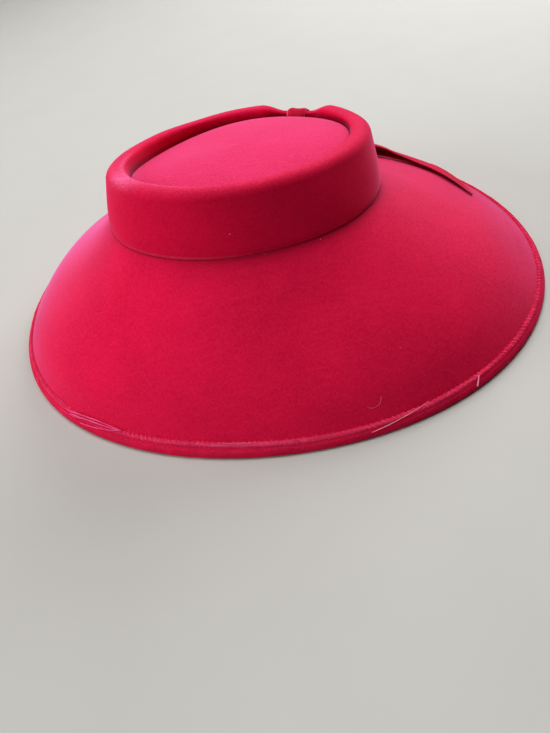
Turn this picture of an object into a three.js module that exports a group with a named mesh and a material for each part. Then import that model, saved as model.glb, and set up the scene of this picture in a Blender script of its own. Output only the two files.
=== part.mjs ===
// A wide-brim felt hat in millimetres: +Z up, front towards -Y, standing on the bound edge of its brim.
import * as THREE from "three";
import { LoftGeometry } from "three/addons/geometries/LoftGeometry.js";

// Felt thicknesses, and the gap that sewn pieces keep.
const GAP = 0.3;
const BRIM_FELT = 2.4;
const BAND_FELT = 2.2;
const TIP_FELT = 2.2;
const BINDING_FELT = 1.4;
const TAIL_FELT = 1.6;

// The crown stands a little to the left and front of the brim's middle and leans back, in degrees of rise.
const CROWN_AXIS = { x: -6.0, y: -12.8 };
const CROWN_LEAN = { right: 0.5, back: -7.6 };

// The ovals of the crown, about its axis: the seam where it meets the brim, and the middle of the rolled rim.
const SEAM = { right: 0, back: 0, halfWide: 88.2, halfDeep: 94.6, height: 69.0 };
const RIM = { right: 1.6, back: 1.3, halfWide: 73.9, halfDeep: 84.2, height: 101.3 };
const RIM_SPREAD = [
  { turns: 1, cos: -0.2, sin: -0.5 },
  { turns: 2, cos: 0.9, sin: 1.7 },
  { turns: 3, cos: -0.5, sin: 1.3 },
];
const RIM_RISE = [
  { turns: 1, cos: 0.5, sin: 0.4 },
  { turns: 2, cos: -1.4, sin: 0.3 },
  { turns: 3, cos: 0.3, sin: 0.2 },
];

// The roll is wider towards the tip at the right, the back and the left than at the front, and its inner leg
// hangs down beside the tip.
const ROLL_RADIUS = 6.2;
const ROLL_INNER = 6.6;
const ROLL_INNER_WAVES = [
  { turns: 1, cos: -0.5, sin: 1.0 },
  { turns: 2, cos: 0, sin: 1.3 },
];
const ROLL_LEG = 12.5;

// The domed tip: how far its edge sits below the rim's middle, its rounded shoulder and its gentle dome.
// It is pitched up to the back and a little to the right inside the roll, and its edge waves with the roll.
const TIP = { edgeDrop: 3.7, shoulder: 5.0, shoulderPower: 8, dome: 3.5, right: 1.1, back: 2.5 };
const TIP_EDGE_WAVES = [
  { turns: 2, cos: 0.1, sin: 2.1 },
  { turns: 3, cos: 1.4, sin: 0.6 },
];
const TIP_RINGS = [0, 0.2, 0.45, 0.68, 0.84, 0.93, 0.98, 1];

// The brim's outline about the crown's axis: a mean radius and its waves around the hat.
const EDGE_RADIUS = 185.7;
const EDGE_WAVES = [
  { turns: 1, cos: 2.4, sin: 12.7 },
  { turns: 2, cos: 1.0, sin: -0.9 },
  { turns: 3, cos: 3.9, sin: -0.1 },
];
// How far the brim bulges above a straight slope, and the power that moves the bulge towards the edge.
const BULGE = 6.2;
const BULGE_WAVES = [
  { turns: 1, cos: -0.2, sin: -0.9 },
  { turns: 2, cos: 1.0, sin: 0 },
];
const BULGE_POWER = 1.74;
const BRIM_STEPS = 8;

// The binding: its cover on each face of the brim, and the height of the felt's end above the floor.
const BINDING_WIDTH = 8.0;
const FOLD_HEIGHT = 2.2;
const FOLD_RADIUS = BRIM_FELT / 2 + GAP + BINDING_FELT;
const FOLD_STEPS = 6;

// The knot at the back pinches the roll and pulls it down; its strap is thicker along two soft folds.
const KNOT_ANGLE = 90;
const PINCH = { depth: 2.2, dip: 2.2, narrowing: 0.4, flat: 12, end: 18.5 };
const KNOT_FOLDS = [
  { turn: -7, felt: 1.4 },
  { turn: -3.5, felt: 2.0 },
  { turn: 0, felt: 1.7 },
  { turn: 3.5, felt: 2.0 },
  { turn: 7, felt: 1.4 },
];
// The strap starts at this share of the wall's height and ends this far down the roll's inner leg.
const KNOT_FOOT = 0.1;
const KNOT_INNER_END = 1.8;

// A tail of the tie, a strip folded double, from the knot to its cut point: angle around the hat, reach from
// seam to edge, and the upper layer's lift above the brim, at its near edge and at its fold.
const TAIL = [
  { near: { angle: 82.75, reach: -0.03, lift: 11.0 }, far: { angle: 82.75, reach: 0.06, lift: 9.0 } },
  { near: { angle: 79, reach: 0.16, lift: 9.8 }, far: { angle: 80.5, reach: 0.34, lift: 8.4 } },
  { near: { angle: 73, reach: 0.46, lift: 7.0 }, far: { angle: 79, reach: 0.6, lift: 6.4 } },
  { near: { angle: 67, reach: 0.52, lift: 4.3 }, far: { angle: 73.5, reach: 0.64, lift: 3.6 } },
  { near: { angle: 60, reach: 0.55, lift: 2.6 }, far: { angle: 67, reach: 0.69, lift: 2.8 } },
  { near: { angle: 53, reach: 0.58, lift: 2.2 }, far: { angle: 62.5, reach: 0.725, lift: 2.4 } },
  { near: { angle: 46, reach: 0.59, lift: 2.2 }, far: { angle: 57.6, reach: 0.735, lift: 2.5 } },
  { near: { angle: 36.8, reach: 0.655, lift: 2.6 }, far: { angle: 37.6, reach: 0.665, lift: 2.6 } },
];
const TAIL_STEPS = 21;
const TAIL_COLUMNS = [0, 0.25, 0.5, 0.75];
// The upper layer arches a little; the lower one lies just above the brim and starts clear of the crown.
const TAIL_CAMBER = 0.6;
const TAIL_SEAT = 0.3;
const TAIL_NEAREST = 0.012;
// The share of the width where the hollow between the layers ends at the fold.
const TAIL_FOLD = 0.88;

const STATIONS = 60;
const ROLL_STEPS = 8;

const radians = THREE.MathUtils.degToRad;
const up = new THREE.Vector3(0, 0, 1);

// The sum of a table of waves at an angle around the hat.
function waves(table, angle) {
  return table.reduce(
    (sum, { turns, cos, sin }) => sum + cos * Math.cos(turns * angle) + sin * Math.sin(turns * angle),
    0,
  );
}

// The rise of the leaning crown at a place measured from its axis.
function leanRise(x, y) {
  return Math.tan(radians(CROWN_LEAN.right)) * x + Math.tan(radians(CROWN_LEAN.back)) * y;
}

// A point of one of the crown's ovals.
function ovalPoint(oval, angle, spread = 0, rise = 0) {
  const x = oval.right + (oval.halfWide + spread) * Math.cos(angle);
  const y = oval.back + (oval.halfDeep + spread) * Math.sin(angle);
  return new THREE.Vector3(CROWN_AXIS.x + x, CROWN_AXIS.y + y, oval.height + rise + leanRise(x, y));
}

const seamPoint = (angle) => ovalPoint(SEAM, angle);
const rimPoint = (angle) => ovalPoint(RIM, angle, waves(RIM_SPREAD, angle), waves(RIM_RISE, angle));

const rollInner = (angle) => ROLL_INNER + waves(ROLL_INNER_WAVES, angle);

// The level direction out of the rim's oval.
function rimOut(angle) {
  return new THREE.Vector3(RIM.halfDeep * Math.cos(angle), RIM.halfWide * Math.sin(angle), 0).normalize();
}

// The outermost point of the bound edge, on the floor.
function edgePoint(angle) {
  const radius = EDGE_RADIUS + waves(EDGE_WAVES, angle);
  return new THREE.Vector3(
    CROWN_AXIS.x + radius * Math.cos(angle),
    CROWN_AXIS.y + radius * Math.sin(angle),
    0,
  );
}

// How tightly the knot holds the roll, from 0 to 1.
function squeeze(angle) {
  const away = Math.abs(THREE.MathUtils.radToDeg(angle) - KNOT_ANGLE);
  return 1 - THREE.MathUtils.smoothstep(away, PINCH.flat, PINCH.end);
}

// The outer face of the sideband at an angle: up the wall, over the roll and down its inner leg.
function bandPath(angle) {
  const rim = rimPoint(angle).addScaledVector(up, -PINCH.dip * squeeze(angle));
  const out = rimOut(angle);
  const roll = ROLL_RADIUS - PINCH.depth * squeeze(angle);
  const slimmer = 1 - (rollInner(angle) / ROLL_RADIUS) * (1 - PINCH.narrowing * squeeze(angle));
  const foot = seamPoint(angle);
  const fromRim = foot.clone().sub(rim);
  const across = new THREE.Vector2(fromRim.dot(out), fromRim.z);
  const wallTurn = across.angle() - 2 * Math.PI + Math.acos(roll / across.length());
  const facing = (turn) =>
    out.clone().multiplyScalar(Math.cos(turn)).addScaledVector(up, Math.sin(turn));
  const path = [{ point: foot, normal: facing(wallTurn) }];
  for (let i = 0; i <= ROLL_STEPS; i++) {
    const normal = facing(THREE.MathUtils.lerp(wallTurn, Math.PI, i / ROLL_STEPS));
    const point = rim.clone().addScaledVector(normal, roll);
    point.addScaledVector(out, slimmer * roll * Math.max(0, -normal.dot(out)));
    path.push({ point, normal });
  }
  const legTop = path[path.length - 1];
  path.push({ point: legTop.point.clone().addScaledVector(up, -ROLL_LEG), normal: legTop.normal });
  return path;
}

// The brim's section at an angle: its middle line from the seam to the felt's end inside the binding.
function brimSection(angle) {
  const seam = seamPoint(angle);
  const out = edgePoint(angle).sub(seam).setZ(0);
  const width = out.length();
  out.normalize();
  const start = new THREE.Vector2(0, seam.z - GAP - BRIM_FELT / 2);
  const end = new THREE.Vector2(width - FOLD_RADIUS, FOLD_HEIGHT);
  const chord = end.clone().sub(start);
  const length = chord.length();
  const rise = new THREE.Vector2(-chord.y, chord.x).normalize();
  const bulge = BULGE + waves(BULGE_WAVES, angle);
  const place = (level) => seam.clone().setZ(0).addScaledVector(out, level.x).addScaledVector(up, level.y);
  const swell = (reach) => Math.PI * Math.max(0, reach) ** BULGE_POWER;
  const middle = (reach) =>
    start
      .clone()
      .addScaledVector(chord, reach)
      .addScaledVector(rise, bulge * Math.sin(swell(reach)));
  const along = (reach) => {
    const steepness =
      bulge * Math.PI * BULGE_POWER * Math.max(0, reach) ** (BULGE_POWER - 1) * Math.cos(swell(reach));
    return chord.clone().addScaledVector(rise, steepness).normalize();
  };
  const facing = (reach) => {
    const tangent = along(reach);
    return new THREE.Vector2(-tangent.y, tangent.x);
  };
  const offset = (reach, lift) => middle(reach).addScaledVector(facing(reach), lift);
  const covered = 1 - BINDING_WIDTH / length;
  return { seam, place, offset, along, facing, end, coveredReaches: [covered, (1 + covered) / 2, 1] };
}

// A point above the brim's top face.
function aboveBrim({ angle, reach, lift }, mirrored, extra = 0) {
  const section = brimSection(radians(mirrored ? 180 - angle : angle));
  return section.place(section.offset(reach, BRIM_FELT / 2 + lift + extra));
}

// The sections of a piece that runs right round the hat, the first one repeated to close it.
function allRound(sectionAt) {
  const sections = [];
  for (let i = 0; i < STATIONS; i++) sections.push(sectionAt((2 * Math.PI * i) / STATIONS));
  return [...sections, sections[0]];
}

// The domed tip inside the roll: rings out along the underside and back over the top, one felt higher.
function tipGeometry() {
  const centre = new THREE.Vector3(
    CROWN_AXIS.x + RIM.right,
    CROWN_AXIS.y + RIM.back,
    RIM.height + leanRise(RIM.right, RIM.back),
  );
  const ring = (part, lower) => {
    const shoulder = TIP.shoulder * Math.sqrt(1 - part ** TIP.shoulderPower);
    const height = shoulder + TIP.dome * (1 - part ** 2) - TIP.edgeDrop - lower;
    return allRound((angle) => {
      const pitch = TIP.right * Math.cos(angle) + TIP.back * Math.sin(angle);
      const wave = waves(TIP_EDGE_WAVES, angle);
      const edge = rimPoint(angle).addScaledVector(rimOut(angle), -rollInner(angle) - GAP);
      return centre.clone().lerp(edge, part).addScaledVector(up, height + pitch * part + wave * part ** 2);
    }).slice(0, -1);
  };
  const underside = TIP_RINGS.map((part) => ring(part, TIP_FELT));
  const top = TIP_RINGS.map((part) => ring(part, 0));
  return new LoftGeometry([...underside, ...top.reverse()]);
}

// The sideband: the outer face and, one felt inside it, the inner face, with a level foot on the brim.
function sidebandGeometry() {
  return new LoftGeometry(
    allRound((angle) => {
      const path = bandPath(angle);
      const outer = path.map(({ point }) => point);
      const inner = path.map(({ point, normal }) => point.clone().addScaledVector(normal, -BAND_FELT));
      const [foot] = path;
      const level = foot.normal.clone().setZ(0);
      inner[0] = foot.point.clone().addScaledVector(level, -BAND_FELT / level.lengthSq());
      return [...outer, ...inner.reverse()].reverse();
    }),
  );
}

// The brim: a level ledge under the sideband, then the bulging slope down to the binding.
function brimGeometry() {
  return new LoftGeometry(
    allRound((angle) => {
      const section = brimSection(angle);
      const [covered] = section.coveredReaches;
      const reaches = [];
      for (let i = 0; i < BRIM_STEPS; i++) reaches.push((covered * i) / BRIM_STEPS);
      reaches.push(...section.coveredReaches);
      const ledge = (lower) =>
        section.place(new THREE.Vector2(-BAND_FELT, section.seam.z - GAP - lower));
      const top = reaches.map((reach) => section.place(section.offset(reach, BRIM_FELT / 2)));
      const underside = reaches.map((reach) => section.place(section.offset(reach, -BRIM_FELT / 2)));
      return [ledge(0), ...top, ...underside.reverse(), ledge(BRIM_FELT)];
    }),
  );
}

// The binding: one strip folded round the brim's edge, flattened where it stands on the floor.
function bindingGeometry() {
  return new LoftGeometry(
    allRound((angle) => {
      const section = brimSection(angle);
      const face = (lift) => {
        const inward = [...section.coveredReaches].reverse();
        const over = section.coveredReaches.slice(0, -1).map((reach) => section.offset(reach, lift));
        const under = inward.slice(1).map((reach) => section.offset(reach, -lift));
        const fold = [];
        for (let i = 0; i <= FOLD_STEPS; i++) {
          const turn = (Math.PI * i) / FOLD_STEPS;
          const arm = section.facing(1).multiplyScalar(Math.cos(turn));
          arm.addScaledVector(section.along(1), Math.sin(turn)).multiplyScalar(lift);
          fold.push(section.end.clone().add(arm));
        }
        return [...over, ...fold, ...under].map(({ x, y }) =>
          section.place(new THREE.Vector2(x, Math.max(0, y))),
        );
      };
      return [...face(FOLD_RADIUS), ...face(BRIM_FELT / 2 + GAP).reverse()];
    }),
  );
}

// The knot's strap: up the outside of the band at the back, over the pinched roll and down inside it.
function knotGeometry() {
  const sections = KNOT_FOLDS.map(({ turn, felt }) => {
    const path = bandPath(radians(KNOT_ANGLE + turn));
    const [foot, wallTop] = path;
    const inside = path[path.length - 2];
    path[0] = { point: foot.point.clone().lerp(wallTop.point, KNOT_FOOT), normal: foot.normal };
    path[path.length - 1] = {
      point: inside.point.clone().addScaledVector(up, -KNOT_INNER_END),
      normal: inside.normal,
    };
    const face = (lift) => path.map(({ point, normal }) => point.clone().addScaledVector(normal, lift));
    return [...face(GAP + felt), ...face(GAP).reverse()].reverse();
  });
  return new LoftGeometry(sections, { capStart: true, capEnd: true });
}

// A tail: a strip folded double along its far side, open towards the crown, ending in a slanting cut.
function tailGeometry(mirrored) {
  const edgeLine = (edge) =>
    new THREE.CatmullRomCurve3(
      TAIL.map((station) => new THREE.Vector3(...Object.values(station[edge]))),
      false,
      "catmullrom",
    );
  const nearLine = edgeLine("near");
  const farLine = edgeLine("far");
  const sections = [];
  for (let i = 0; i <= TAIL_STEPS; i++) {
    const near = nearLine.getPoint(i / TAIL_STEPS);
    const far = farLine.getPoint(i / TAIL_STEPS);
    const layer = (parts, upper, extra) =>
      parts.map((part) => {
        const spot = near.clone().lerp(far, part);
        const lift = upper ? spot.z + 4 * TAIL_CAMBER * part * (1 - part) : TAIL_SEAT;
        const reach = upper ? spot.y : Math.max(TAIL_NEAREST, spot.y);
        return aboveBrim({ angle: spot.x, reach, lift }, mirrored, extra);
      });
    const outer = [...TAIL_COLUMNS, 1];
    const inner = [...TAIL_COLUMNS, TAIL_FOLD];
    const ring = [
      ...layer(outer, true, TAIL_FELT),
      ...layer(outer, false, 0).reverse(),
      ...layer(inner, false, TAIL_FELT),
      ...layer(inner, true, 0).reverse(),
    ];
    sections.push(mirrored ? ring : ring.reverse());
  }
  return new LoftGeometry(sections, { capStart: true, capEnd: true });
}

// One named piece with its own felt colour.
function piece(name, geometry, colour, roughness) {
  const felt = new THREE.MeshStandardMaterial({ color: colour, roughness, metalness: 0 });
  const mesh = new THREE.Mesh(geometry, felt);
  mesh.name = name;
  return mesh;
}

const hat = new THREE.Group();
hat.name = "wide_brim_hat";
hat.add(
  piece("crown_tip", tipGeometry(), 0xd0204f, 0.95),
  piece("sideband", sidebandGeometry(), 0xb80f36, 0.95),
  piece("brim", brimGeometry(), 0xc4113a, 0.95),
  piece("brim_binding", bindingGeometry(), 0xc9163a, 0.9),
  piece("back_knot", knotGeometry(), 0xb80f36, 0.95),
  piece("bow_tail_right", tailGeometry(false), 0xb80f36, 0.95),
  piece("bow_tail_left", tailGeometry(true), 0xb80f36, 0.95),
);

export default hat;
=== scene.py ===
"""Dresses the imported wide-brim hat in brushed velour felt, with a frayed binding and a strap tied at the back.

Sizes are in millimetres until a mesh is made, and the scene is in metres. Angles run around the crown's axis:
0 degrees is the hat's right side (+X), 90 the back (+Y, where the strap is tied) and 270 the front.
"""

from __future__ import annotations

import logging
import math
from dataclasses import dataclass
from enum import Enum
from typing import Sequence

import bmesh
import bpy
import numpy as np
from mathutils import Matrix, Vector

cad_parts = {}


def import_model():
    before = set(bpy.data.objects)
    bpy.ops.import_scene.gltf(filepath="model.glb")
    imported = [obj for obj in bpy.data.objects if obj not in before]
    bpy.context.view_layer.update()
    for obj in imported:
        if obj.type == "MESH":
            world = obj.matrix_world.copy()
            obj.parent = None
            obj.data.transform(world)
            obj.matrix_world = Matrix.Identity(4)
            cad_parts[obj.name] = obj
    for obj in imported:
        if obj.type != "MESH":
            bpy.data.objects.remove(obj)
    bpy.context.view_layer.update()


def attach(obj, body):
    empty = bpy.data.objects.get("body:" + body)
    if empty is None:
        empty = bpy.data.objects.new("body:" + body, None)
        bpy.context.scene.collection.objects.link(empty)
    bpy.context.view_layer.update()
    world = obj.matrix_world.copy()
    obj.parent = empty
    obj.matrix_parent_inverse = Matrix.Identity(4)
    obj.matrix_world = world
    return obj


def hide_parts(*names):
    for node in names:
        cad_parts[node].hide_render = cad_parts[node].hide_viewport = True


LOG = logging.getLogger("wide_brim_hat")
MM = 0.001
TURN = 2.0 * math.pi


class Slot(str, Enum):
    """The record's material slots."""

    TIP = "tip_felt"
    SIDEBAND = "sideband_felt"
    BRIM = "brim_felt"
    BINDING = "binding_felt"
    TIE = "tie_felt"


class Side(Enum):
    """The two tails of the tie, by the side of the hat that each lies on."""

    RIGHT = "right"
    LEFT = "left"


def srgb(colour: str) -> tuple[float, float, float, float]:
    """Turns an sRGB hex colour to linear.

    Args:
        colour: Six hex digits after a number sign.

    Returns:
        Linear red, green, blue and an alpha of 1.
    """
    parts = [int(colour[i : i + 2], 16) / 255.0 for i in (1, 3, 5)]
    linear = [p / 12.92 if p <= 0.04045 else ((p + 0.055) / 1.055) ** 2.4 for p in parts]
    return (linear[0], linear[1], linear[2], 1.0)


def add_node(
    tree: bpy.types.NodeTree, kind: str, inputs: dict | None = None, **settings: object
) -> bpy.types.Node:
    """Adds a shader node with its settings, values and links.

    Args:
        tree: The node tree that gets the node.
        kind: Blender's name for the node's type.
        inputs: A value or another node's output for each input, by its name or number.
        settings: The node's own properties.

    Returns:
        The new node.
    """
    node = tree.nodes.new(kind)
    for name, value in settings.items():
        setattr(node, name, value)
    for name, value in (inputs or {}).items():
        if isinstance(value, bpy.types.NodeSocket):
            tree.links.new(value, node.inputs[name])
        else:
            node.inputs[name].default_value = value
    return node


def bare_material(name: str) -> bpy.types.Material:
    """A new material with no nodes yet."""
    made = bpy.data.materials.new(name)
    made.use_nodes = True
    made.node_tree.nodes.clear()
    return made


def per_metre(size_mm: float) -> float:
    """A texture scale that gives a pattern of this size."""
    return 1.0 / (size_mm * MM)


def soft_step(value: np.ndarray, low: float, high: float) -> np.ndarray:
    """Rises smoothly from 0 at low to 1 at high."""
    part = np.clip((value - low) / (high - low), 0.0, 1.0)
    return part * part * (3.0 - 2.0 * part)


def hump(value: np.ndarray, centre: float, width: float) -> np.ndarray:
    """A soft hump of height 1 about a centre."""
    return np.exp(-(((value - centre) / width) ** 2))


def away(angle: np.ndarray, centre_deg: float) -> np.ndarray:
    """Degrees from a place around the hat, at most 180 either way."""
    return (np.degrees(angle) - centre_deg + 180.0) % 360.0 - 180.0


def all_round(count: int) -> np.ndarray:
    """Evenly spaced angles around the hat, in radians."""
    return TURN * np.arange(count) / count


@dataclass(frozen=True)
class Spot:
    """A place around the hat, in degrees, with its soft width and what it adds there."""

    middle: float
    width: float
    amount: float = 1.0

    def at(self, angle: np.ndarray) -> np.ndarray:
        """What the spot adds at each angle."""
        return self.amount * hump(away(angle, self.middle), 0.0, self.width)


@dataclass(frozen=True)
class Stretch:
    """A stretch around the hat, in degrees: its middle, how far it is whole, and where it has faded out."""

    middle: float
    whole: float
    faded: float

    def at(self, angle: np.ndarray) -> np.ndarray:
        """How much of the stretch each angle has, from 0 to 1."""
        return 1.0 - soft_step(np.abs(away(angle, self.middle)), self.whole, self.faded)


# The shape that the pieces share


@dataclass(frozen=True)
class Wave:
    """One wave of a size around the hat."""

    turns: int
    cos: float
    sin: float


def waves(table: Sequence[Wave], angle: np.ndarray) -> np.ndarray:
    """The sum of a table of waves at each angle."""
    return sum(w.cos * np.cos(w.turns * angle) + w.sin * np.sin(w.turns * angle) for w in table)


@dataclass(frozen=True)
class Ripple:
    """A shallow hand-made unevenness of the felt, around the hat and out from its crown."""

    turns: int
    outward: float
    phase: float
    height: float


def ripples(table: Sequence[Ripple], angle: np.ndarray, part: np.ndarray) -> np.ndarray:
    """The sum of a table of ripples at each angle and each part of the way out."""
    return sum(r.height * np.sin(r.turns * angle + TURN * r.outward * part + r.phase) for r in table)


@dataclass(frozen=True)
class Oval:
    """An oval of the crown about its axis."""

    right: float
    back: float
    half_wide: float
    half_deep: float
    height: float


@dataclass
class BrimSection:
    """The brim's section at a row of angles: a bulging line from the seam to the end in the binding."""

    seam: np.ndarray
    out: np.ndarray
    start: np.ndarray
    chord: np.ndarray
    rise: np.ndarray
    bulge: np.ndarray
    power: float

    @property
    def length(self) -> np.ndarray:
        """The straight length of each section."""
        return np.linalg.norm(self.chord, axis=-1)

    @property
    def end(self) -> np.ndarray:
        """The felt's end at each angle."""
        return self.start + self.chord

    def middle(self, reach: np.ndarray) -> np.ndarray:
        """The felt's middle line, in the plane of each section."""
        swell = math.pi * np.maximum(reach, 0.0) ** self.power
        lift = self.bulge[:, None] * np.sin(swell)
        straight = self.start[:, None] + self.chord[:, None] * reach[..., None]
        return straight + self.rise[:, None] * lift[..., None]

    def along(self, reach: np.ndarray) -> np.ndarray:
        """The direction outward along the felt, in the plane of each section."""
        reach = np.maximum(reach, 1e-9)
        steep = self.bulge[:, None] * math.pi * self.power * reach ** (self.power - 1.0)
        steep = steep * np.cos(math.pi * reach**self.power)
        line = self.chord[:, None] + self.rise[:, None] * steep[..., None]
        return line / np.linalg.norm(line, axis=-1, keepdims=True)

    def facing(self, reach: np.ndarray) -> np.ndarray:
        """The direction up out of the felt, in the plane of each section."""
        line = self.along(reach)
        return np.stack([-line[..., 1], line[..., 0]], axis=-1)

    def place(self, level: np.ndarray) -> np.ndarray:
        """Turns points of the sections' planes to points of the hat.

        Args:
            level: Distance outward from the seam and height, one row for each angle.

        Returns:
            Points in millimetres.
        """
        points = self.seam[:, None] + self.out[:, None] * level[..., :1]
        points[..., 2] = level[..., 1]
        return points

    def face(self, reach: np.ndarray, lift: np.ndarray | float) -> np.ndarray:
        """Points at a lift above the felt's middle line.

        Args:
            reach: Part of the way from the seam to the felt's end, one row for each angle.
            lift: Height above the middle line.

        Returns:
            Points in millimetres.
        """
        lift = np.broadcast_to(np.asarray(lift, dtype=float), reach.shape)
        return self.place(self.middle(reach) + self.facing(reach) * lift[..., None])


@dataclass(frozen=True)
class HatForm:
    """The hat's shared sizes and ovals."""

    gap: float = 0.3
    brim_felt: float = 2.4
    band_felt: float = 2.2
    tip_felt: float = 2.2
    binding_felt: float = 1.4
    axis: tuple[float, float] = (-6.0, -12.8)
    lean_right: float = 0.5
    lean_back: float = -7.6
    seam: Oval = Oval(0.0, 0.0, 88.2, 94.6, 69.0)
    rim: Oval = Oval(1.6, 1.3, 73.9, 84.2, 101.3)
    roll_radius: float = 6.2
    roll_inner: float = 6.6
    roll_inner_waves: tuple[Wave, ...] = (Wave(1, -0.5, 1.0), Wave(2, 0.0, 1.3))
    roll_leg: float = 12.5
    rim_spread: tuple[Wave, ...] = (Wave(1, -0.2, -0.5), Wave(2, 0.9, 1.7), Wave(3, -0.5, 1.3))
    rim_rise: tuple[Wave, ...] = (Wave(1, 0.5, 0.4), Wave(2, -1.4, 0.3), Wave(3, 0.3, 0.2))
    edge_radius: float = 185.7
    edge_waves: tuple[Wave, ...] = (Wave(1, 2.4, 12.7), Wave(2, 1.0, -0.9), Wave(3, 3.9, -0.1))
    bulge: float = 6.2
    bulge_waves: tuple[Wave, ...] = (Wave(1, -0.2, -0.9), Wave(2, 1.0, 0.0))
    bulge_power: float = 1.74
    fold_height: float = 2.2
    knot_angle: float = 88.9
    pinch_depth: float = 2.6
    pinch_dip: float = 2.4
    pinch_narrowing: float = 0.4
    pinch_flat: float = 7.0
    pinch_end: float = 22.0
    leg_sewn: float = 2.0

    @property
    def fold_radius(self) -> float:
        """The outer radius of the binding where it turns round the brim's edge."""
        return self.brim_felt / 2.0 + self.gap + self.binding_felt

    def oval_points(
        self, oval: Oval, angle: np.ndarray, spread: np.ndarray | float = 0.0, rise: np.ndarray | float = 0.0
    ) -> np.ndarray:
        """Points of one of the crown's ovals, which lean with the crown.

        Args:
            oval: The oval.
            angle: Angles around the hat.
            spread: What is added to both half axes.
            rise: What is added to the height.

        Returns:
            Points in millimetres.
        """
        x = oval.right + (oval.half_wide + spread) * np.cos(angle)
        y = oval.back + (oval.half_deep + spread) * np.sin(angle)
        lean = math.tan(math.radians(self.lean_right)) * x + math.tan(math.radians(self.lean_back)) * y
        return np.stack([self.axis[0] + x, self.axis[1] + y, oval.height + rise + lean], axis=-1)

    def seam_points(self, angle: np.ndarray) -> np.ndarray:
        """The seam where the crown meets the brim."""
        return self.oval_points(self.seam, angle)

    def rim_points(self, angle: np.ndarray) -> np.ndarray:
        """The middle line of the rolled rim."""
        return self.oval_points(self.rim, angle, waves(self.rim_spread, angle), waves(self.rim_rise, angle))

    def rim_out(self, angle: np.ndarray) -> np.ndarray:
        """The level direction out of the rim's oval."""
        x, y = self.rim.half_deep * np.cos(angle), self.rim.half_wide * np.sin(angle)
        out = np.stack([x, y, np.zeros_like(angle)], axis=-1)
        return out / np.linalg.norm(out, axis=-1, keepdims=True)

    def rim_centre(self) -> np.ndarray:
        """The middle of the rim's oval."""
        edge = self.oval_points(self.rim, np.array([0.0, math.pi]))
        return edge.mean(axis=0)

    def inner_width(self, angle: np.ndarray) -> np.ndarray:
        """How far the roll reaches in from its middle line towards the tip."""
        return self.roll_inner + waves(self.roll_inner_waves, angle)

    def squeeze(self, angle: np.ndarray) -> np.ndarray:
        """How tightly the knot holds the roll, from 0 to 1."""
        return Stretch(self.knot_angle, self.pinch_flat, self.pinch_end).at(angle)

    def band_path(
        self, angle: np.ndarray, wall: np.ndarray, roll_steps: int, leg: np.ndarray, crisp: float = 2.0
    ) -> tuple[np.ndarray, np.ndarray]:
        """The sideband's outer face: up the wall, over the roll and down its inner leg to the tip's edge.

        Args:
            angle: Angles around the hat.
            wall: Parts of the way up the wall, below 1.
            roll_steps: Steps over the roll.
            leg: Distances down the inner leg.
            crisp: How sharply the roll turns down on its inner side, 2 for a round turn.

        Returns:
            Points in millimetres and outward directions, one row for each angle.
        """
        rim, out = self.rim_points(angle)[:, None], self.rim_out(angle)[:, None]
        squeeze = self.squeeze(angle)[:, None]
        rim[..., 2] -= self.pinch_dip * squeeze
        roll = self.roll_radius - self.pinch_depth * squeeze
        foot = self.seam_points(angle)[:, None]
        across, drop = ((foot - rim) * out).sum(axis=-1), (foot - rim)[..., 2]
        wall_turn = np.arctan2(drop, across) + np.arccos(roll / np.hypot(across, drop))
        over = np.linspace(0.0, 1.0, roll_steps + 1)[None]
        turns = np.concatenate(
            [
                np.broadcast_to(wall_turn, (len(angle), len(wall))),
                wall_turn + (math.pi - wall_turn) * over,
                np.full((len(angle), len(leg)), math.pi),
            ],
            axis=1,
        )
        normal = out * np.cos(turns)[..., None]
        normal[..., 2] += np.sin(turns)
        inward, upward = np.maximum(0.0, -np.cos(turns)), np.maximum(0.0, np.sin(turns))
        loose = self.inner_width(angle)[:, None]
        width = loose * roll / self.roll_radius * (1.0 - self.pinch_narrowing * squeeze)
        inner_side = out * (-width * inward ** (2.0 / crisp))[..., None]
        inner_side[..., 2] += roll * upward ** (2.0 / crisp)
        point = rim + np.where((inward > 0.0)[..., None], inner_side, normal * roll[..., None])
        count, leg_start = len(wall), len(wall) + roll_steps + 1
        wall_top = point[:, count : count + 1]
        point[:, :count] = foot + (wall_top - foot) * wall[None, :, None]
        point[:, leg_start:, 2] -= leg[None]
        drawn_in = (loose - width) * np.minimum(leg / self.leg_sewn, 1.0)[None]
        point[:, leg_start:] -= out * drawn_in[..., None]
        return point, normal

    def brim_section(self, angle: np.ndarray) -> BrimSection:
        """The brim's section at each angle."""
        seam = self.seam_points(angle)
        radius = self.edge_radius + waves(self.edge_waves, angle)
        edge = np.array(self.axis) + radius[:, None] * np.stack([np.cos(angle), np.sin(angle)], axis=-1)
        out = edge - seam[:, :2]
        width = np.linalg.norm(out, axis=-1)
        out = np.concatenate([out / width[:, None], np.zeros((len(angle), 1))], axis=-1)
        start = np.stack([np.zeros_like(width), seam[:, 2] - self.gap - self.brim_felt / 2.0], axis=-1)
        end = np.stack([width - self.fold_radius, np.full_like(width, self.fold_height)], axis=-1)
        chord = end - start
        rise = np.stack([-chord[:, 1], chord[:, 0]], axis=-1) / np.linalg.norm(chord, axis=-1, keepdims=True)
        bulge = self.bulge + waves(self.bulge_waves, angle)
        return BrimSection(seam, out, start, chord, rise, bulge, self.bulge_power)


# Meshes


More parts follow.
